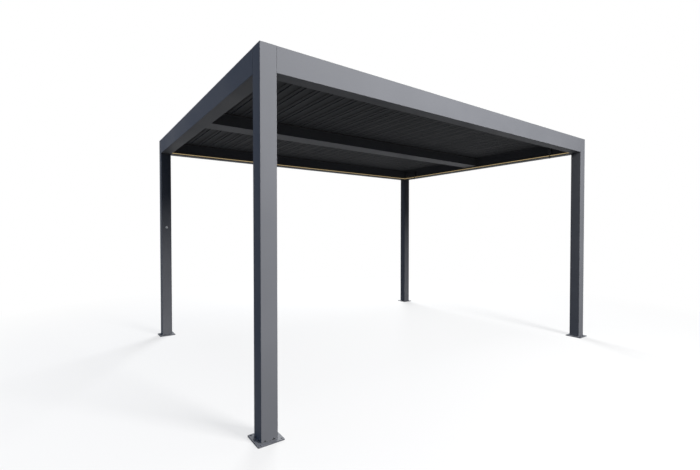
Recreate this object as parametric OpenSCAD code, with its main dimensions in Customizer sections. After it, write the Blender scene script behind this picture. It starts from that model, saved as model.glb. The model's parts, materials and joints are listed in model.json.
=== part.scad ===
// Free-standing louvred pergola in coated aluminium.
// Four square posts on bolted foot plates carry a frame of beams. A middle beam
// splits the roof into two bays of blades that turn about their long axes.
// Origin: centre of the plan at ground level. +X along the long side, +Y to the
// back, +Z up. Millimetres.

/* [Overall] */
// Length over the posts, along X
width = 4000; // [3000:10:5000]
// Depth over the posts, along Y
depth = 3000; // [2400:10:4000]
// Height from the ground to the top of the frame
height = 2300; // [1900:10:3000]

/* [Posts] */
// Side of the square posts, and width of the outer beams
post_size = 105; // [80:1:160]
// Rounding of the long edges of the posts
post_round = 3; // [1:0.5:8]
// Thickness of the caps that close the posts
cap_t = 3; // [2:0.5:8]

/* [Foot plates] */
// How far a foot plate reaches past its post on each side
plate_reach = 30; // [26:1:80]
// Thickness of the foot plates
plate_t = 8; // [4:1:20]
// Rounding of the plate corners
plate_round = 4; // [1:0.5:10]
// Diameter of the anchor holes
anchor_d = 12; // [8:0.5:14]
// From a plate's edge to the centre of an anchor hole
anchor_inset = 15; // [12:0.5:18]

/* [Beams] */
// Height of the outer beams
beam_h = 157; // [120:1:240]
// Rounding of the long edges of the beams
beam_round = 1.5; // [0.5:0.5:4]
// Width of the middle beam
mid_w = 196; // [120:1:260]
// How far the middle beam's underside lies above the outer beams'
mid_raise = 30; // [10:1:60]

/* [Louvres] */
// Blades in a bay
louvre_count = 31; // [20:1:36]
// Thickness of a blade
louvre_t = 18; // [16:1:30]
// Width of the fixed strip on the left, with its drain rib
side_left_w = 83; // [60:1:100]
// Width of the fixed strip on the right
side_right_w = 39; // [20:1:60]
// Open gap between two neighbouring undersides
blade_gap = 10; // [7:0.5:14]
// Width of the drain rib on a blade's edge
rib_w = 31.5; // [24:0.5:40]
// Width of the groove between the rib and the main underside
groove_w = 9; // [4:0.5:14]
// Depth of that groove
groove_d = 5; // [3:0.5:6]
// How far the rib's underside lies above the main underside's edges
rib_raise = 1; // [0:0.5:3]
// Rise of the main underside's arch at its middle
arch_h = 3; // [0.5:0.5:4]
// How far the upper lip laps over the neighbour's rib
lip_lap = 7; // [4:0.5:8]
// Thickness of the upper lip
lip_t = 4; // [2:0.5:5]
// Clear height between the lip and the rib below it
lip_clear = 5; // [5:0.5:7]

/* [Pivots] */
// Diameter of the pivot pins
pin_d = 8; // [6:0.5:12]
// Clearance all round a pin in its hole
pin_clear = 0.3; // [0.1:0.05:0.6]
// Thickness of the rails that hold the pins
rail_t = 9; // [8:0.5:16]
// How far a rail reaches below the blades' axis
rail_drop = 18; // [12:1:30]
// How far a pin goes into its rail
pin_grip = 6.5; // [4:0.5:7]
// Room at the blind end of a pin
pin_end_clear = 1; // [0.5:0.5:1.5]
// Gap between a blade's end and the rail
end_clear = 6; // [5:0.5:12]

/* [Light strips] */
// Height of the light strips
led_h = 10; // [6:1:16]
// Depth of the light strips
led_t = 6; // [4:0.5:10]
// From a beam's underside up to a light strip
led_up = 6; // [3:1:20]
// Gap between two light strips at a corner
led_seam = 0.5; // [0.2:0.1:2]

/* [Crank gearboxes] */
// From the outer face of an end beam to a gearbox's centre
gear_from_end = 350; // [250:10:600]
// Gearbox housing, out from the beam
gear_x = 24; // [20:1:40]
// Gearbox housing, along the beam
gear_y = 46; // [30:1:80]
// Gearbox housing height
gear_z = 56; // [40:1:70]
// From the beam's underside up to the housing
gear_up = 35; // [25:1:50]
// Diameter of the crank shaft
crank_d = 9; // [6:0.5:10]
// Diameter of the rod that the crank eye is bent from
eye_rod_d = 8; // [5:0.5:9]
// Radius of the crank eye, to the middle of the rod
eye_r = 9; // [8:0.5:16]
// How far the crank eye hangs below the beam
eye_drop = 25; // [20:1:40]

/* [Post clip] */
// Height of the clip's centre above the ground
clip_z = 1276; // [900:1:1500]
// Diameter of the clip
clip_d = 26; // [16:1:40]
// How far the clip stands off the post
clip_t = 8; // [4:1:16]
// Diameter of the clip's raised middle
clip_mid_d = 18; // [8:1:30]

/* [Hidden] */
$fn = 48;
// Flats that make up a rounded edge
corner_steps = 3;
// Flats that make up a blade's arch
arch_steps = 8;
// How far joined shapes reach into each other, and cuts past a face
bite = 1;
louvre_names = [for (i = [1:louvre_count]) str("louvres_", i < 10 ? "0" : "", i)];

// Faces and levels of the frame
post_x = (width - post_size) / 2;
post_y = (depth - post_size) / 2;
inner_x = width / 2 - post_size;
inner_y = depth / 2 - post_size;
beam_z = height - beam_h;
mid_z = beam_z + mid_raise;
plate_size = post_size + 2 * plate_reach;
anchor_pitch = plate_size - 2 * anchor_inset;

// Blades: main underside, groove, rib and gap fill one pitch, and the pivot lies
// midway between the lip's tip and the rib's edge
pitch = (2 * inner_x - side_left_w - side_right_w - blade_gap) / louvre_count;
main_w = pitch - groove_w - rib_w - blade_gap;
main_x0 = blade_gap + lip_lap / 2 - pitch / 2;
main_x1 = main_x0 + main_w;
rib_x0 = main_x1 + groove_w;
rib_x1 = rib_x0 + rib_w;
lip_x = main_x0 - blade_gap - lip_lap;
rib_top = louvre_t - lip_t - lip_clear;
drain_wall = 2.5;
drain_floor = 2;
drain_z = groove_d + drain_floor;
shoulder = 2;
louvre_z = height - louvre_t;
pivot_z = height - louvre_t / 2;
first_x = -inner_x + side_left_w + blade_gap - main_x0;
last_x = first_x + (louvre_count - 1) * pitch;

// Bays, front and back
bay_len = inner_y - mid_w / 2;
bay_y = mid_w / 2 + bay_len / 2;
louvre_len = bay_len - 2 * (rail_t + end_clear);
pin_len = end_clear + pin_grip;

coat = [0.29, 0.31, 0.34];
blade_coat = [0.25, 0.27, 0.29];
dark = [0.08, 0.08, 0.09];
warm = [0.95, 0.85, 0.66];
pale = [0.75, 0.76, 0.76];

// Outline of a rectangle with rounded corners
function rounded_rect(x, y, r) = [
    for (c = [[1, 1, 0], [-1, 1, 90], [-1, -1, 180], [1, -1, 270]], i = [0:corner_steps])
        let (a = c[2] + 90 * i / corner_steps)
            [c[0] * (x / 2 - r) + r * cos(a), c[1] * (y / 2 - r) + r * sin(a)]
];

// Upright bar with rounded edges, its base centred on the origin
module rounded_bar(x, y, z, r) {
    linear_extrude(z)
        polygon(rounded_rect(x, y, r));
}

// Beam along X with rounded long edges, its centre on the origin
module beam(length, w, h) {
    rotate([0, 90, 0])
        translate([0, 0, -length / 2])
            rounded_bar(h, w, length, beam_round);
}

module foot_plate(sx, sy) {
    color(coat)
        translate([sx * post_x, sy * post_y, 0])
            difference() {
                rounded_bar(plate_size, plate_size, plate_t, plate_round);
                for (ax = [-1, 1], ay = [-1, 1])
                    translate([ax * anchor_pitch / 2, ay * anchor_pitch / 2, -bite])
                        cylinder(d = anchor_d, h = plate_t + 2 * bite);
            }
}

module post(sx, sy) {
    color(coat)
        translate([sx * post_x, sy * post_y, plate_t])
            rounded_bar(post_size, post_size, height - cap_t - plate_t, post_round);
}

module post_caps() {
    color(coat)
        for (sx = [-1, 1], sy = [-1, 1])
            translate([sx * post_x, sy * post_y, height - cap_t])
                rounded_bar(post_size, post_size, cap_t, post_round);
}

// Front and back beams, between the posts
module beam_along_x(sy) {
    color(coat)
        translate([0, sy * post_y, beam_z + beam_h / 2])
            beam(2 * inner_x, post_size, beam_h);
}

// Left and right beams, between the posts
module beam_along_y(sx) {
    color(coat)
        translate([sx * post_x, 0, beam_z + beam_h / 2])
            rotate([0, 0, 90])
                beam(2 * inner_y, post_size, beam_h);
}

module beam_middle() {
    color(coat)
        translate([0, 0, (mid_z + height) / 2])
            beam(2 * inner_x, mid_w, height - mid_z);
}

// Rail on a beam's face at y, with a blind hole for every blade's pin.
// dir is the way the rail stands off the beam, towards its bay.
module pivot_rail(y, dir) {
    y0 = dir > 0 ? y : y - rail_t;
    z0 = pivot_z - rail_drop;
    mouth = y + dir * rail_t;
    color(dark)
        difference() {
            translate([-inner_x, y0, z0])
                cube([2 * inner_x, rail_t, height - z0]);
            for (i = [0:louvre_count - 1])
                translate([first_x + i * pitch, mouth + dir * bite, pivot_z])
                    rotate([dir * 90, 0, 0])
                        cylinder(d = pin_d + 2 * pin_clear, h = pin_grip + pin_end_clear + bite);
        }
}

// Edge of a blade with groove, rib and drain: the outline from (main_x1, 0) up
function rib_edge() = [
    [main_x1, 0],
    [main_x1, groove_d],
    [rib_x0, groove_d],
    [rib_x0, rib_raise],
    [rib_x1, rib_raise],
    [rib_x1, rib_top],
    [rib_x1 - drain_wall, rib_top],
    [rib_x1 - drain_wall, drain_z],
    [rib_x0 + shoulder + drain_wall, drain_z],
    [rib_x0 + shoulder, louvre_t]
];

// Edge of a blade with the upper lip: the outline from the lip down
function lip_edge() = [
    [lip_x, louvre_t],
    [lip_x, louvre_t - lip_t],
    [main_x0, louvre_t - lip_t],
    [main_x0, 0]
];

// Shallow arch of a blade's main underside, without its two ends
function arch() = [
    for (i = [1:arch_steps - 1])
        let (t = i / arch_steps)
            [main_x0 + t * main_w, 4 * arch_h * t * (1 - t)]
];

// Bar with this cross-section along Y, its middle at (x, y)
module section_bar(points, x, y, length) {
    translate([x, y + length / 2, louvre_z])
        rotate([90, 0, 0])
            linear_extrude(length)
                polygon(points);
}

// One blade of a bay with a pin at each end
module blade(x, y) {
    section_bar(concat(rib_edge(), lip_edge(), arch()), x, y, louvre_len);
    for (s = [-1, 1])
        translate([x, y + s * (louvre_len / 2 - bite), pivot_z])
            rotate([-s * 90, 0, 0])
                cylinder(d = pin_d, h = pin_len + bite);
}

// The two blades that lie in line, one in each bay
module louvres(i) {
    color(blade_coat)
        for (s = [-1, 1])
            blade(first_x + i * pitch, s * bay_y);
}

// Fixed strips beside the outermost blades, shaped as the blades' edges
module edge_strip_left() {
    x = first_x - pitch;
    wall = [[-inner_x - x, louvre_t], [-inner_x - x, 0]];
    color(blade_coat)
        for (s = [-1, 1])
            section_bar(concat(rib_edge(), wall), x, s * bay_y, bay_len - 2 * rail_t);
}

module edge_strip_right() {
    x = last_x + pitch;
    wall = [[inner_x - x, 0], [inner_x - x, louvre_t]];
    color(blade_coat)
        for (s = [-1, 1])
            section_bar(concat(lip_edge(), wall), x, s * bay_y, bay_len - 2 * rail_t);
}

// Light strips round the inner faces of the outer beams
module light_strips() {
    side_len = 2 * (inner_y - led_t - led_seam);
    color(warm)
        translate([0, 0, beam_z + led_up]) {
            for (s = [-1, 1]) {
                translate([-inner_x, s > 0 ? inner_y - led_t : -inner_y, 0])
                    cube([2 * inner_x, led_t, led_h]);
                translate([s > 0 ? inner_x - led_t : -inner_x, -side_len / 2, 0])
                    cube([led_t, side_len, led_h]);
            }
        }
}

// Housing on the right beam's inner face, with the shaft and eye for the crank
module gearbox(sy) {
    housing_z = beam_z + gear_up;
    eye_z = beam_z - eye_drop + eye_rod_d / 2 + eye_r;
    shaft_end = eye_z + eye_r;
    color(dark)
        translate([inner_x - gear_x / 2, sy * (depth / 2 - gear_from_end), 0]) {
            translate([-gear_x / 2, -gear_y / 2, housing_z])
                cube([gear_x, gear_y, gear_z]);
            translate([0, 0, shaft_end])
                cylinder(d = crank_d, h = housing_z - shaft_end + bite);
            translate([0, 0, eye_z])
                rotate([0, 90, 0])
                    rotate_extrude()
                        translate([eye_r, 0])
                            circle(d = eye_rod_d);
        }
}

// Round clip on the front of the back left post
module post_clip() {
    color(pale)
        translate([-post_x, inner_y, clip_z])
            rotate([90, 0, 0]) {
                cylinder(d = clip_d, h = clip_t / 2);
                cylinder(d = clip_mid_d, h = clip_t);
            }
}

foot_plate(-1, -1);  // foot_plate_front_left
foot_plate(1, -1);  // foot_plate_front_right
foot_plate(-1, 1);  // foot_plate_back_left
foot_plate(1, 1);  // foot_plate_back_right
post(-1, -1);  // post_front_left
post(1, -1);  // post_front_right
post(-1, 1);  // post_back_left
post(1, 1);  // post_back_right
post_caps();
beam_along_x(-1);  // beam_front
beam_along_x(1);  // beam_back
beam_along_y(-1);  // beam_left
beam_along_y(1);  // beam_right
beam_middle();
pivot_rail(-inner_y, 1);  // pivot_rail_front
pivot_rail(-mid_w / 2, -1);  // pivot_rail_middle_front
pivot_rail(mid_w / 2, 1);  // pivot_rail_middle_back
pivot_rail(inner_y, -1);  // pivot_rail_back
edge_strip_left();
edge_strip_right();
light_strips();
gearbox(-1);  // gearbox_front
gearbox(1);  // gearbox_back
post_clip();
for (i = [0:louvre_count - 1])
    louvres(i);
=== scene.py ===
import bpy
import json
import math
from mathutils import Matrix, Vector


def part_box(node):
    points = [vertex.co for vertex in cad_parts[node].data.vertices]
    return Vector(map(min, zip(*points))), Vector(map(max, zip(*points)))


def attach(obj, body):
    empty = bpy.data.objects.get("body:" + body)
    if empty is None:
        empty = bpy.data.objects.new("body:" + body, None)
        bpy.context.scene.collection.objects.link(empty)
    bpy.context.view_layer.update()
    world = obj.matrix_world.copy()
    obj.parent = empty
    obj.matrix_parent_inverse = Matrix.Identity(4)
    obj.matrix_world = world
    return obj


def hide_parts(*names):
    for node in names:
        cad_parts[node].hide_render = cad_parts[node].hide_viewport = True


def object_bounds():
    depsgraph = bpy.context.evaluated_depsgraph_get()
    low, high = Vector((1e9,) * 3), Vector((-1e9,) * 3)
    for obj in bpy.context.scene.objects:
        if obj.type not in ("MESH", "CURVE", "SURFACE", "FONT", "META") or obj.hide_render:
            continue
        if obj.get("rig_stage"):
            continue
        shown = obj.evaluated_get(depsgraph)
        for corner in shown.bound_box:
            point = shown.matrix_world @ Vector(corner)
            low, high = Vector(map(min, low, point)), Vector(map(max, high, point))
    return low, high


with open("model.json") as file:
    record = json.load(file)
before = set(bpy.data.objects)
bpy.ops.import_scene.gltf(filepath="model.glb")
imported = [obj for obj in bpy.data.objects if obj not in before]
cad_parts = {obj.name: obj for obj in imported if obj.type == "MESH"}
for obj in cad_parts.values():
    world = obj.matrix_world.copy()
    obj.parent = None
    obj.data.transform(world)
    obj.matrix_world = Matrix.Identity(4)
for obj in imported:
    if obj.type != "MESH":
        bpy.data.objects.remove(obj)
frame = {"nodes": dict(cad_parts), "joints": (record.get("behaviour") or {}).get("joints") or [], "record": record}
cadLow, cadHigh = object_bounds()
nodes = frame["nodes"]
joints = frame["joints"]
bodyOf = {name: body for body, names in frame["record"]["behaviour"]["bodies"].items() for name in names}
root = bodyOf["beam_front"]

facing = 0.99  # cosine within which a face looks a way
sameLevel = 1e-5  # m, two levels this close are one
sharpAngle = 30  # degrees, edges sharper than this are rounded


def deselectAll():
    if bpy.context.object and bpy.context.object.mode != "OBJECT":
        bpy.ops.object.mode_set(mode="OBJECT")
    bpy.ops.object.select_all(action="DESELECT")


def pick(obj):
    deselectAll()
    obj.select_set(True)
    bpy.context.view_layer.objects.active = obj


def openMesh(obj, mode="FACE"):
    pick(obj)
    bpy.ops.object.mode_set(mode="EDIT")
    bpy.ops.mesh.select_mode(type=mode)
    bpy.ops.mesh.select_all(action="DESELECT")


def selectBy(obj, test, kind="polygons"):
    # faces by a test on centre and normal, or edges by one on centre and direction
    bpy.ops.object.mode_set(mode="OBJECT")
    mesh = obj.data
    for vertex in mesh.vertices:
        vertex.select = False
    for edge in mesh.edges:
        edge.select = False
    for face in mesh.polygons:
        face.select = False
    for item in getattr(mesh, kind):
        if kind == "polygons":
            item.select = test(item.center, item.normal)
        else:
            ends = [mesh.vertices[i].co for i in item.vertices]
            item.select = test((ends[0] + ends[1]) / 2, (ends[1] - ends[0]))
    bpy.ops.object.mode_set(mode="EDIT")


def closeMesh(obj, name, angle=35):
    # back to object mode, transforms into the mesh, smooth round faces
    bpy.ops.object.mode_set(mode="OBJECT")
    pick(obj)
    bpy.ops.object.transform_apply(location=True, rotation=True, scale=True)
    if angle:
        bpy.ops.object.shade_smooth_by_angle(angle=math.radians(angle))
    obj.name = name
    obj.data.name = name
    return obj


def applyModifier(obj, kind, **settings):
    pick(obj)
    modifier = obj.modifiers.new(kind.title(), kind)
    for key, value in settings.items():
        setattr(modifier, key, value)
    bpy.ops.object.modifier_apply(modifier=modifier.name)


def bevelAll(obj, width, segments=2):
    applyModifier(obj, "BEVEL", width=width, segments=segments, limit_method="ANGLE",
                  angle_limit=math.radians(sharpAngle), use_clamp_overlap=True)


def addBox(name, low, high):
    deselectAll()
    low, high = Vector(low), Vector(high)
    bpy.ops.mesh.primitive_cube_add(size=1, location=(low + high) / 2)
    obj = bpy.context.object
    obj.scale = high - low
    bpy.ops.object.transform_apply(location=True, rotation=True, scale=True)
    obj.name = name
    return obj


def extrudeOutline(name, points, start, end):
    # outline drawn point by point in XZ at start, filled and pulled out along Y to end
    deselectAll()
    bpy.ops.mesh.primitive_plane_add(size=0.001)
    obj = bpy.context.object
    bpy.ops.object.mode_set(mode="EDIT")
    bpy.ops.mesh.select_mode(type="VERT")
    bpy.ops.mesh.select_all(action="SELECT")
    bpy.ops.mesh.merge(type="CENTER")
    bpy.ops.transform.translate(value=(points[0][0], start, points[0][1]))
    for before, after in zip(points, points[1:]):
        step = (after[0] - before[0], 0, after[1] - before[1])
        bpy.ops.mesh.extrude_vertices_move(TRANSFORM_OT_translate={"value": step})
    bpy.ops.mesh.select_all(action="SELECT")
    bpy.ops.mesh.edge_face_add()
    bpy.ops.mesh.extrude_region_move(TRANSFORM_OT_translate={"value": (0, end - start, 0)})
    bpy.ops.mesh.select_all(action="SELECT")
    bpy.ops.mesh.normals_make_consistent(inside=False)
    bpy.ops.object.mode_set(mode="OBJECT")
    obj.name = name
    return obj


def addDisc(radius, thickness, sides, centre, axis="Y"):
    deselectAll()
    tilt = math.pi / 2 if axis == "Y" else 0
    bpy.ops.mesh.primitive_cylinder_add(vertices=sides, radius=radius, depth=thickness,
                                        location=centre, rotation=(tilt, 0, 0))
    bpy.ops.object.transform_apply(location=True, rotation=True, scale=True)
    return bpy.context.object


def turnAndMove(obj, turn, centre=(0, 0, 0), place=(0, 0, 0)):
    # turned about a line along Z through centre, then moved, all into the mesh
    pick(obj)
    centre = Vector(centre)
    obj.rotation_euler.z = turn
    obj.location = Vector(place) + centre - Matrix.Rotation(turn, 3, "Z") @ centre
    bpy.ops.object.transform_apply(location=True, rotation=True, scale=True)
    return obj


def duplicate(obj):
    pick(obj)
    bpy.ops.object.duplicate(linked=False)
    return bpy.context.object


def pushFace(thickness, step):
    # the selected faces inset by thickness and pushed by step
    bpy.ops.mesh.inset(thickness=thickness)
    bpy.ops.mesh.extrude_region_move(TRANSFORM_OT_translate={"value": step})


def joinAll(parts, name):
    deselectAll()
    for part in parts:
        part.select_set(True)
    bpy.context.view_layer.objects.active = parts[0]
    bpy.ops.object.join()
    joined = bpy.context.object
    joined.name = name
    joined.data.name = name
    return joined


def dress(obj, material, body):
    obj.data.materials.clear()
    obj.data.materials.append(material)
    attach(obj, body)


def newMaterial(name):
    material = bpy.data.materials.new(name)
    material.use_nodes = True
    tree = material.node_tree
    tree.nodes.clear()
    output = tree.nodes.new("ShaderNodeOutputMaterial")
    shader = tree.nodes.new("ShaderNodeBsdfPrincipled")
    tree.links.new(shader.outputs["BSDF"], output.inputs["Surface"])
    return material, tree, shader


def objectCoords(tree, scale=(1, 1, 1)):
    coords = tree.nodes.new("ShaderNodeTexCoord")
    mapping = tree.nodes.new("ShaderNodeMapping")
    mapping.inputs["Scale"].default_value = scale
    tree.links.new(coords.outputs["Object"], mapping.inputs["Vector"])
    return mapping.outputs["Vector"]


def noiseNode(tree, vector, scale, detail):
    noise = tree.nodes.new("ShaderNodeTexNoise")
    noise.inputs["Scale"].default_value = scale
    noise.inputs["Detail"].default_value = detail
    tree.links.new(vector, noise.inputs["Vector"])
    return noise.outputs["Fac"]


def rangeNode(tree, value, low, high, fromLow=0.3, fromHigh=0.7):
    node = tree.nodes.new("ShaderNodeMapRange")
    node.inputs["From Min"].default_value = fromLow
    node.inputs["From Max"].default_value = fromHigh
    node.inputs["To Min"].default_value = low
    node.inputs["To Max"].default_value = high
    tree.links.new(value, node.inputs["Value"])
    return node.outputs["Result"]


def mixColour(tree, factor, first, second):
    node = tree.nodes.new("ShaderNodeMix")
    node.data_type = "RGBA"
    sockets = [s for s in node.inputs if s.enabled]
    for socket, value in zip(sockets, (factor, first, second)):
        if isinstance(value, bpy.types.NodeSocket):
            tree.links.new(value, socket)
        elif isinstance(value, (tuple, list)):
            socket.default_value = (*value, 1)
        else:
            socket.default_value = value
    return [s for s in node.outputs if s.enabled][0]


def bumpNode(tree, height, strength, distance, normal=None):
    node = tree.nodes.new("ShaderNodeBump")
    node.inputs["Strength"].default_value = strength
    node.inputs["Distance"].default_value = distance
    tree.links.new(height, node.inputs["Height"])
    if normal is not None:
        tree.links.new(normal, node.inputs["Normal"])
    return node.outputs["Normal"]


noiseDepth = {"cloud": 3, "grain": 1}  # octaves of soft clouding, of fine grain
bumpStrength = 0.5

powderCoat = {
    "colour": (0.098, 0.102, 0.113),
    "paler": (0.112, 0.116, 0.128),
    "speckle": (0.078, 0.082, 0.092),
    "cloudScale": 2.2,
    "speckleScale": 900,
    "speckleShare": 0.6,
    "speckleFrom": (0.5, 0.75),
    "peelScale": 420,
    "peelDepth": 0.00006,
    "grainDepth": 0.00002,
    "rough": (0.54, 0.64),
    "gloss": 0.06,
    "stretch": (1, 1, 1),
}

shadedLouvreLook = dict(powderCoat)
shadedLouvreLook.update({
    # painted shade: the blades get the frame's powder coat made darker, standing in for the shade under the roof
    "colour": (0.060, 0.062, 0.067),
    "paler": (0.074, 0.077, 0.082),
    "speckle": (0.044, 0.046, 0.050),
    "rough": (0.60, 0.70),
    "gloss": 0.03,
    "stretch": (6, 0.4, 6),  # clouding drawn out along the blades
})


def makePowderCoat(name, look):
    material, tree, shader = newMaterial(name)
    plain = objectCoords(tree)
    drawn = objectCoords(tree, look["stretch"])
    cloud = noiseNode(tree, drawn, look["cloudScale"], noiseDepth["cloud"])
    speckle = noiseNode(tree, plain, look["speckleScale"], noiseDepth["grain"])
    peel = noiseNode(tree, plain, look["peelScale"], noiseDepth["grain"])
    base = mixColour(tree, rangeNode(tree, cloud, 0, 1), look["colour"], look["paler"])
    share = rangeNode(tree, speckle, 0, look["speckleShare"], *look["speckleFrom"])
    colour = mixColour(tree, share, base, look["speckle"])
    tree.links.new(colour, shader.inputs["Base Color"])
    rough = rangeNode(tree, cloud, *look["rough"])
    tree.links.new(rough, shader.inputs["Roughness"])
    coarse = bumpNode(tree, peel, bumpStrength, look["peelDepth"])
    fine = bumpNode(tree, speckle, bumpStrength, look["grainDepth"], coarse)
    tree.links.new(fine, shader.inputs["Normal"])
    shader.inputs["Specular IOR Level"].default_value = look["gloss"]
    return material


frameCoat = makePowderCoat("frameCoat", powderCoat)
shadedLouvreCoat = makePowderCoat("shadedLouvreCoat", shadedLouvreLook)
print("coats made")


def makePlain(name, look):
    # moulded or plated finish: slight clouding, fine grain, even gloss
    material, tree, shader = newMaterial(name)
    vector = objectCoords(tree)
    cloud = noiseNode(tree, vector, look["cloudScale"], noiseDepth["cloud"])
    grain = noiseNode(tree, vector, look["grainScale"], noiseDepth["grain"])
    tree.links.new(mixColour(tree, rangeNode(tree, cloud, 0, 1), look["colour"], look["paler"]),
                   shader.inputs["Base Color"])
    tree.links.new(rangeNode(tree, cloud, *look["rough"]), shader.inputs["Roughness"])
    tree.links.new(bumpNode(tree, grain, bumpStrength, look["grainDepth"]), shader.inputs["Normal"])
    shader.inputs["Metallic"].default_value = look["metal"]
    shader.inputs["Specular IOR Level"].default_value = look["gloss"]
    return material


railPlastic = makePlain("railPlastic", {
    "colour": (0.020, 0.020, 0.022),
    "paler": (0.030, 0.030, 0.032),
    "cloudScale": 14,
    "grainScale": 1200,
    "grainDepth": 0.00003,
    "rough": (0.48, 0.60),
    "metal": 0.0,
    "gloss": 0.25,
})
gearboxDark = makePlain("gearboxDark", {
    "colour": (0.030, 0.031, 0.034),
    "paler": (0.045, 0.046, 0.050),
    "cloudScale": 40,
    "grainScale": 900,
    "grainDepth": 0.00004,
    "rough": (0.38, 0.52),
    "metal": 0.0,
    "gloss": 0.4,
})
screwSteel = makePlain("screwSteel", {
    "colour": (0.030, 0.031, 0.034),
    "paler": (0.060, 0.061, 0.064),
    "cloudScale": 160,
    "grainScale": 2500,
    "grainDepth": 0.00001,
    "rough": (0.30, 0.42),
    "metal": 0.6,
    "gloss": 0.5,
})
clipPlastic = makePlain("clipPlastic", {
    "colour": (0.46, 0.47, 0.47),
    "paler": (0.54, 0.55, 0.55),
    "cloudScale": 90,
    "grainScale": 1500,
    "grainDepth": 0.00002,
    "rough": (0.36, 0.48),
    "metal": 0.0,
    "gloss": 0.5,
})

diffuser = {
    "cover": (0.80, 0.72, 0.56),
    "light": (1.0, 0.74, 0.36),
    "ledPitch": 0.0167,  # from one light point to the next
    "glow": (0.30, 0.62),  # between the points, at a point
    "grainScale": 700,
    "grainDepth": 0.00002,
    "grainStrength": 0.3,
    "rough": (0.35, 0.5),
}


def makeDiffuser():
    # milky cover over a row of small warm lights
    material, tree, shader = newMaterial("lightDiffuser")
    coords = tree.nodes.new("ShaderNodeTexCoord")
    split = tree.nodes.new("ShaderNodeSeparateXYZ")
    tree.links.new(coords.outputs["Object"], split.inputs[0])
    along = tree.nodes.new("ShaderNodeMath")
    along.operation = "ADD"
    tree.links.new(split.outputs["X"], along.inputs[0])
    tree.links.new(split.outputs["Y"], along.inputs[1])
    turns = tree.nodes.new("ShaderNodeMath")
    turns.operation = "MULTIPLY"
    turns.inputs[1].default_value = 2 * math.pi / diffuser["ledPitch"]
    tree.links.new(along.outputs[0], turns.inputs[0])
    wave = tree.nodes.new("ShaderNodeMath")
    wave.operation = "COSINE"
    tree.links.new(turns.outputs[0], wave.inputs[0])
    glow = rangeNode(tree, wave.outputs[0], *diffuser["glow"], -1, 1)
    tree.links.new(glow, shader.inputs["Emission Strength"])
    grain = noiseNode(tree, coords.outputs["Object"], diffuser["grainScale"], noiseDepth["grain"])
    fine = bumpNode(tree, grain, diffuser["grainStrength"], diffuser["grainDepth"])
    tree.links.new(fine, shader.inputs["Normal"])
    tree.links.new(rangeNode(tree, grain, *diffuser["rough"]), shader.inputs["Roughness"])
    shader.inputs["Base Color"].default_value = (*diffuser["cover"], 1)
    shader.inputs["Emission Color"].default_value = (*diffuser["light"], 1)
    return material


lightDiffuser = makeDiffuser()
finishes = {
    "louvres": shadedLouvreCoat,
    "edge_strip": shadedLouvreCoat,
    "pivot_rail": railPlastic,
    "gearbox": gearboxDark,
    "light_strips": lightDiffuser,
    "post_clip": clipPlastic,
}
for name, node in nodes.items():
    node.data.materials.clear()
    node.data.materials.append(next((m for key, m in finishes.items() if name.startswith(key)), frameCoat))
print("finishes on every node")

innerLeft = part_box("beam_left")[1].x
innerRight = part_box("beam_right")[0].x
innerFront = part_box("beam_front")[1].y
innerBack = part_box("beam_back")[0].y
corners = [(front, side) for front in ("front", "back") for side in ("left", "right")]


footScrew = {
    "sides": 18,
    "smooth": 40,  # degrees
    "headRadius": 0.0048,
    "headHeight": 0.0028,
    "rim": 0.0012,  # round edge of the head
    "rimSteps": 3,
    "socketRim": 0.0022,
    "socketDepth": 0.0014,
    "fromEdge": 0.0255,  # centre to the post's edge
    "abovePlate": 0.0060,
}


def makeScrew(name, look, place):
    # button head that looks along -Y, its back on place
    back = Vector(place)
    screw = addDisc(look["headRadius"], look["headHeight"], look["sides"],
                    back - Vector((0, look["headHeight"] / 2, 0)))
    openMesh(screw, "EDGE")
    tip = back.y - look["headHeight"]
    selectBy(screw, lambda centre, along: abs(centre.y - tip) < sameLevel, "edges")
    bpy.ops.mesh.bevel(offset=look["rim"], segments=look["rimSteps"])
    bpy.ops.mesh.select_mode(type="FACE")
    selectBy(screw, lambda centre, normal: normal.y < -facing and abs(centre.y - tip) < sameLevel)
    pushFace(look["socketRim"] - look["rim"], (0, look["socketDepth"], 0))
    return closeMesh(screw, name, look["smooth"])


def makeFootScrews():
    for front, side in corners:
        low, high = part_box("post_{}_{}".format(front, side))
        centre = (low + high) / 2
        level = low.z + footScrew["abovePlate"]
        screws = []
        for x in (low.x + footScrew["fromEdge"], high.x - footScrew["fromEdge"]):
            first = makeScrew("screw", footScrew, (x, low.y, level))
            screws.append(first)
            for quarter in (1, 2, 3):
                screws.append(turnAndMove(duplicate(first), math.radians(90 * quarter), centre))
        joined = joinAll(screws, "foot_screws_{}_{}".format(front, side))
        dress(joined, screwSteel, root)


makeFootScrews()
print("foot screws made")


channel = {
    "wall": 0.0012,
    "hook": 0.0014,  # how far a lip covers the strip's face
    "depth": 0.0072,
    "slack": 0.0002,
    "cornerGap": 0.0006,
}


def channelOutline(wallX, base, out, up):
    # one lip of the channel: out and up are the ways off the beam and off the strip
    depth, wall, hook, slack = (channel[key] for key in ("depth", "wall", "hook", "slack"))
    steps = [(0, slack), (0, slack + wall), (depth + wall, slack + wall), (depth + wall, -hook),
             (depth, -hook), (depth, slack)]
    return [(wallX + out * x, base + up * z) for x, z in steps]


def makeChannels():
    low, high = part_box("light_strips")
    reach = channel["depth"] + channel["wall"] + channel["cornerGap"]
    sides = {
        "left": (innerLeft, 1, innerFront + reach, innerBack - reach),
        "right": (innerRight, -1, innerFront + reach, innerBack - reach),
        "front": (innerFront, 1, -innerRight, -innerLeft),
        "back": (innerBack, -1, -innerRight, -innerLeft),
    }
    for side, (wall, out, start, end) in sides.items():
        lips = [extrudeOutline("lip", channelOutline(wall, base, out, up), start, end)
                for base, up in ((high.z, 1), (low.z, -1))]
        both = joinAll(lips, "light_channel_" + side)
        if side in ("front", "back"):  # drawn along Y, laid along X
            turnAndMove(both, math.pi / 2)
        dress(both, frameCoat, root)


makeChannels()
print("light channels made")


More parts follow.
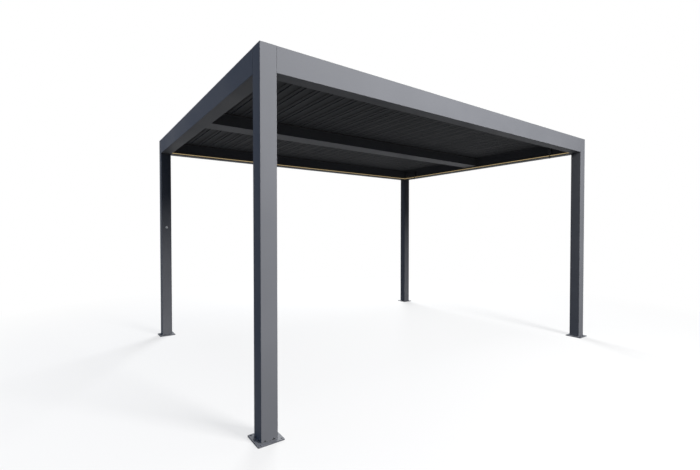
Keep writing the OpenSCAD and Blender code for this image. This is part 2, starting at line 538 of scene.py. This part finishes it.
gearCover = {
    "margin": 0.003,
    "thickness": 0.0018,
    "corner": 0.006,
    "cornerSteps": 4,
    "edge": 0.0002,
    "panelRim": 0.0085,
    "panelDepth": 0.0006,
    "housingHeight": 0.056,
    "screwInset": 0.0052,
}

coverScrew = {
    "sides": 18,
    "smooth": 40,  # degrees
    "headRadius": 0.0024,
    "headHeight": 0.0014,
    "rim": 0.0005,
    "rimSteps": 3,
    "socketRim": 0.0010,
    "socketDepth": 0.0007,
}

gearCollar = {
    "sides": 28,
    "radius": 0.0085,
    "height": 0.007,
    "step": 0.0022,
    "edge": 0.0002,
}


def makeGearCover(end):
    low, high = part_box("gearbox_" + end)
    bottom = high.z - gearCover["housingHeight"]
    margin = gearCover["margin"]
    face = low.x
    plate = addBox("gear_cover_" + end, (face - gearCover["thickness"], low.y + margin, bottom + margin),
                   (face, high.y - margin, high.z - margin))
    openMesh(plate)
    selectBy(plate, lambda centre, normal: normal.x < -facing)
    pushFace(gearCover["panelRim"], (gearCover["panelDepth"], 0, 0))
    bpy.ops.mesh.select_mode(type="EDGE")
    selectBy(plate, lambda centre, along: abs(along.normalized().x) > facing, "edges")
    bpy.ops.mesh.bevel(offset=gearCover["corner"], segments=gearCover["cornerSteps"])
    bpy.ops.object.mode_set(mode="OBJECT")
    bevelAll(plate, gearCover["edge"])
    closeMesh(plate, "gear_cover_" + end, 0)
    dress(plate, gearboxDark, root)
    makeCoverScrews(end, face - gearCover["thickness"], low.y, high.y, bottom, high.z)
    makeCollar(end, (low.x + high.x) / 2, (low.y + high.y) / 2, bottom)


def makeCoverScrews(end, face, front, back, bottom, top):
    # modelled looking along -Y at the origin, turned to look along -X
    inset = gearCover["margin"] + gearCover["screwInset"]
    screws = []
    for y in (front + inset, back - inset):
        for z in (bottom + inset, top - inset):
            screw = makeScrew("screw", coverScrew, (0, 0, 0))
            screws.append(turnAndMove(screw, -math.pi / 2, place=(face, y, z)))
    joined = joinAll(screws, "gear_cover_screws_" + end)
    dress(joined, screwSteel, root)


def makeCollar(end, x, y, top):
    collar = addDisc(gearCollar["radius"], gearCollar["height"], gearCollar["sides"],
                     (x, y, top - gearCollar["height"] / 2), "Z")
    openMesh(collar)
    selectBy(collar, lambda centre, normal: normal.z < -facing)
    pushFace(gearCollar["step"], (0, 0, -gearCollar["step"]))
    bpy.ops.object.mode_set(mode="OBJECT")
    bevelAll(collar, gearCollar["edge"])
    closeMesh(collar, "gear_collar_" + end)
    dress(collar, gearboxDark, root)


for end in ("front", "back"):
    makeGearCover(end)
print("gearbox covers made")


bladeCap = {
    "thickness": 0.0020,
    "railGap": 0.006,  # between a rail's face and the blade's end
    "endSlack": 0.0005,  # how far from that plane an end face may lie
    "weld": 0.00001,
    "flat": 1,  # degrees, faces within this are one
}


def bladeEnds():
    # the planes in which the blades end, before their pins
    gap = bladeCap["railGap"]
    return (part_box("pivot_rail_front")[1].y + gap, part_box("pivot_rail_middle_front")[0].y - gap,
            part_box("pivot_rail_middle_back")[1].y + gap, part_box("pivot_rail_back")[0].y - gap)


def makeBladeCaps(name, ends):
    # a copy of the blades, cut down to their end faces and thickened outwards
    caps = duplicate(nodes[name])
    caps.parent = None
    for key in [key for key in caps.keys() if key.startswith("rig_")]:
        del caps[key]
    openMesh(caps)
    bpy.ops.mesh.select_all(action="SELECT")
    bpy.ops.mesh.remove_doubles(threshold=bladeCap["weld"])

    def notAnEnd(centre, normal):
        away = min(abs(centre.y - end) for end in ends)
        return abs(normal.y) < facing or away > bladeCap["endSlack"]

    selectBy(caps, notAnEnd)
    bpy.ops.mesh.delete(type="FACE")
    bpy.ops.mesh.select_all(action="SELECT")
    bpy.ops.mesh.dissolve_limited(angle_limit=math.radians(bladeCap["flat"]))
    bpy.ops.object.mode_set(mode="OBJECT")
    applyModifier(caps, "SOLIDIFY", thickness=bladeCap["thickness"], offset=1)
    closeMesh(caps, name.replace("louvres", "blade_caps"), sharpAngle)
    dress(caps, railPlastic, bodyOf[name])


planes = bladeEnds()
for name in sorted(nodes):
    if name.startswith("louvres_"):
        makeBladeCaps(name, planes)
print("blade caps made")


pinBush = {
    "sides": 20,
    "outer": 0.0075,
    "inner": 0.0044,
    "thickness": 0.0020,
    "edge": 0.0004,
}


def makeBushes(rail, face, out):
    # one flanged ring at the first pin, then a row of them
    pins = sorted((joint["pos_m"][0], joint["pos_m"][2]) for joint in joints)
    step = (pins[-1][0] - pins[0][0]) / (len(pins) - 1)
    bush = addDisc(pinBush["outer"], pinBush["thickness"], pinBush["sides"],
                   (pins[0][0], face + out * pinBush["thickness"] / 2, pins[0][1]))
    openMesh(bush)
    selectBy(bush, lambda centre, normal: abs(normal.y) > facing)
    bpy.ops.mesh.inset(thickness=pinBush["outer"] - pinBush["inner"], use_individual=True)
    bpy.ops.mesh.bridge_edge_loops()
    bpy.ops.mesh.select_all(action="SELECT")
    bpy.ops.mesh.normals_make_consistent(inside=False)
    bpy.ops.object.mode_set(mode="OBJECT")
    bevelAll(bush, pinBush["edge"], 1)
    applyModifier(bush, "ARRAY", count=len(pins), use_relative_offset=False, use_constant_offset=True,
                  constant_offset_displace=(step, 0, 0))
    closeMesh(bush, "pin_bushes_" + rail)
    dress(bush, gearboxDark, root)


for rail, out in (("front", 1), ("middle_front", -1), ("middle_back", 1), ("back", -1)):
    low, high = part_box("pivot_rail_" + rail)
    makeBushes(rail, high.y if out > 0 else low.y, out)
print("pin bushes made")


clipButton = {
    "sides": 40,
    "rimStep": 0.004,
    "neckRadius": 0.009,
    "dish": 0.0015,
    "edge": 0.0006,
}


def makeClip():
    low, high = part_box("post_clip")
    radius = (high.x - low.x) / 2
    depth = high.y - low.y
    clip = addDisc(radius, depth / 2, clipButton["sides"],
                   ((low.x + high.x) / 2, high.y - depth / 4, (low.z + high.z) / 2))
    openMesh(clip)
    selectBy(clip, lambda centre, normal: normal.y < -facing)
    pushFace(radius - clipButton["neckRadius"], (0, -depth / 2, 0))
    pushFace(clipButton["rimStep"], (0, clipButton["dish"], 0))
    bpy.ops.object.mode_set(mode="OBJECT")
    bevelAll(clip, clipButton["edge"])
    closeMesh(clip, "clip_button")
    dress(clip, clipPlastic, root)
    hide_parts("post_clip")


makeClip()
print("clip made")


view = {
    "place": (-2.8815, -3.5962, 1.2191),
    "heading": 35.897,  # degrees from +Y towards +X
    "tilt": -0.980,
    "lens": 20.052,
    "shift": (-0.00139, 0.00567),
    "sensor": 36,
    "clip": (0.05, 200),
}


def makeCamera():
    deselectAll()
    bpy.ops.object.camera_add(location=view["place"])
    camera = bpy.context.object
    camera.rotation_euler = (math.radians(90 + view["tilt"]), 0, -math.radians(view["heading"]))
    camera.data.lens = view["lens"]
    camera.data.sensor_width = view["sensor"]
    camera.data.shift_x, camera.data.shift_y = view["shift"]
    camera.data.clip_start, camera.data.clip_end = view["clip"]
    bpy.context.scene.camera = camera


studio = {
    "floorSize": 60,
    "floorDrop": 0.0005,
    "fadeFrom": 2.6,
    "fadeTo": 5.5,
    "floorGlow": 0.66,
    "floorTone": 0.155,
    "bounceTone": 0.055,
    "ambient": (0.42, 0.62, 1.0),
    "ambientStrength": 0.12,
    "lamps": {
        "keyLamp": {
            "place": (0.9, -7.0, 4.6),
            "aim": (-3.5, -1.5, 2.0),
            "size": (2.4, 3),
            "power": 1250,
            "colour": (1.0, 0.985, 0.97),
        },
        "backLamp": {
            "place": (5.0, 8.0, 5.0),
            "aim": (0, 0, 1.5),
            "size": (5, 4),
            "power": 2600,
            "colour": (0.98, 0.99, 1.0),
        },
        "leftLamp": {
            "place": (-9.0, 1.0, 4.0),
            "aim": (0, 0, 1.2),
            "size": (5, 4),
            "power": 125,
            "colour": (0.20, 0.46, 1.0),
        },
        "topLamp": {
            "place": (0, 0, 9.0),
            "aim": (0, 0.01, 0),
            "size": (7, 7),
            "power": 500,
            "colour": (1, 1, 1),
        },
    },
}


def seenDirectly(tree):
    # 1 where the camera, a reflection or glass looks at the surface
    path = tree.nodes.new("ShaderNodeLightPath")
    total = path.outputs["Is Camera Ray"]
    for name in ("Is Glossy Ray", "Is Transmission Ray"):
        add = tree.nodes.new("ShaderNodeMath")
        add.operation = "MAXIMUM"
        tree.links.new(total, add.inputs[0])
        tree.links.new(path.outputs[name], add.inputs[1])
        total = add.outputs[0]
    return total


def makeFloor():
    deselectAll()
    level = cadLow.z - studio["floorDrop"]
    bpy.ops.mesh.primitive_plane_add(size=studio["floorSize"], location=(0, 0, level))
    floor = bpy.context.object
    floor.name = "studioFloor"
    material = bpy.data.materials.new("floorPale")
    material.use_nodes = True
    tree = material.node_tree
    tree.nodes.clear()
    new, link = tree.nodes.new, tree.links.new
    output = new("ShaderNodeOutputMaterial")
    coords = new("ShaderNodeTexCoord")
    length = new("ShaderNodeVectorMath")
    length.operation = "LENGTH"
    link(coords.outputs["Object"], length.inputs[0])
    fade = rangeNode(tree, length.outputs["Value"], 0, 1, studio["fadeFrom"], studio["fadeTo"])
    glow = new("ShaderNodeEmission")
    glow.inputs["Strength"].default_value = studio["floorGlow"]
    white = new("ShaderNodeEmission")
    white.inputs["Color"].default_value = (1, 1, 1, 1)
    soft = new("ShaderNodeBsdfDiffuse")
    soft.inputs["Color"].default_value = (studio["floorTone"],) * 3 + (1,)
    bounce = new("ShaderNodeBsdfDiffuse")
    bounce.inputs["Color"].default_value = (studio["bounceTone"],) * 3 + (1,)
    near = new("ShaderNodeAddShader")
    link(glow.outputs[0], near.inputs[0])
    link(soft.outputs[0], near.inputs[1])
    shown = new("ShaderNodeMixShader")
    link(fade, shown.inputs[0])
    link(near.outputs[0], shown.inputs[1])
    link(white.outputs[0], shown.inputs[2])
    mix = new("ShaderNodeMixShader")
    link(seenDirectly(tree), mix.inputs[0])
    link(bounce.outputs[0], mix.inputs[1])
    link(shown.outputs[0], mix.inputs[2])
    link(mix.outputs[0], output.inputs["Surface"])
    floor.data.materials.append(material)
    floor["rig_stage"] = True


def makeWorld():
    world = bpy.data.worlds.new("studioWorld")
    bpy.context.scene.world = world
    world.use_nodes = True
    tree = world.node_tree
    tree.nodes.clear()
    output = tree.nodes.new("ShaderNodeOutputWorld")
    ambient = tree.nodes.new("ShaderNodeBackground")
    ambient.inputs["Color"].default_value = (*studio["ambient"], 1)
    ambient.inputs["Strength"].default_value = studio["ambientStrength"]
    white = tree.nodes.new("ShaderNodeBackground")
    white.inputs["Color"].default_value = (1, 1, 1, 1)
    mix = tree.nodes.new("ShaderNodeMixShader")
    tree.links.new(seenDirectly(tree), mix.inputs[0])
    tree.links.new(ambient.outputs[0], mix.inputs[1])
    tree.links.new(white.outputs[0], mix.inputs[2])
    tree.links.new(mix.outputs[0], output.inputs["Surface"])


def makeLamps():
    for name, lamp in studio["lamps"].items():
        deselectAll()
        bpy.ops.object.light_add(type="AREA", location=lamp["place"])
        obj = bpy.context.object
        obj.name = name
        towards = Vector(lamp["aim"]) - Vector(lamp["place"])
        obj.rotation_euler = towards.to_track_quat("-Z", "Y").to_euler()
        obj.data.shape = "RECTANGLE"
        obj.data.size, obj.data.size_y = lamp["size"]
        obj.data.energy = lamp["power"]
        obj.data.color = lamp["colour"]


makeCamera()
makeFloor()
makeWorld()
makeLamps()
bpy.context.scene.view_settings.view_transform = "Standard"
print("camera, floor and light set")

low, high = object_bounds()
